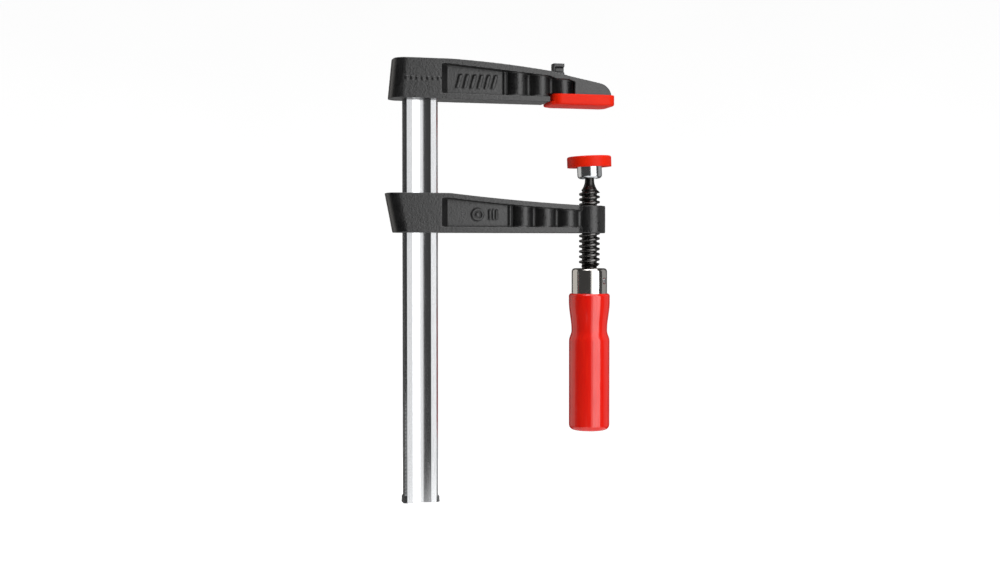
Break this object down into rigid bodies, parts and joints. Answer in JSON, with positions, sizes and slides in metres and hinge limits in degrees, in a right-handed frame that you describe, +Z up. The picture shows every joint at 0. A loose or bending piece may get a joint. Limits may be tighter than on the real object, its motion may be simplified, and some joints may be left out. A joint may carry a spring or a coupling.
{
  "type": "f clamp",
  "caption": "Screw clamp with a fixed cast arm and a sliding cast arm on a flat steel rail, a trapezoidal screw with a wooden handle, and a swivelling capped pressure plate.",
  "frame": {"origin": "centre of the fixed jaw's clamping face, the underside of its plastic cap, on the screw's axis", "axes": "+X runs from the rail towards the screw, +Y across the arms, +Z up the rail from the sliding arm to the fixed arm"},
  "size_m": [0.1754, 0.034, 0.3298],
  "materials": {
    "rail_steel": "bright cold-drawn steel",
    "arm_iron": "black stove-enamelled casting with a fine sand grain",
    "cap_plastic": "orange-red moulded plastic",
    "screw_steel": "black oiled steel",
    "plate_steel": "bright zinc-plated turned steel",
    "spring_steel": "plain spring steel",
    "ferrule_nickel": "polished nickel plate",
    "handle_wood": "red lacquered beech"
  },
  "bodies": {
    "frame": {"rail": "rail_steel", "fixed_arm": "arm_iron", "jaw_cap": "cap_plastic"},
    "sliding_arm": {"sliding_arm": "arm_iron"},
    "screw_carrier": {"snap_ring": "spring_steel"},
    "screw": {"spindle": "screw_steel", "ferrule": "ferrule_nickel", "cross_pin": "spring_steel", "handle": "handle_wood"},
    "plate": {"pressure_plate": "plate_steel", "plate_cap": "cap_plastic"}
  },
  "joints": [
    {"name": "arm_slide", "type": "slide", "parent": "frame", "child": "sliding_arm", "axis": [0, 0, 1], "range_m": [-0.19375, 0.0078]},
    {"name": "screw_advance", "type": "slide", "parent": "sliding_arm", "child": "screw_carrier", "axis": [0, 0, 1], "range_m": [-0.01856, 0.02651]},
    {"name": "screw_turn", "type": "hinge", "parent": "screw_carrier", "child": "screw", "pos_m": [0, 0, -0.049], "axis": [0, 0, 1], "range_deg": [-1665, 2385]},
    {"name": "plate_tilt", "type": "hinge", "parent": "screw_carrier", "child": "plate", "pos_m": [0, 0, -0.049], "axis": [0, 1, 0], "range_deg": [-9.6, 14.4]}
  ],
  "couplings": [
    {"joint": "screw_advance", "follows": "screw_turn", "m_per_rad": 0.00063662}
  ]
}
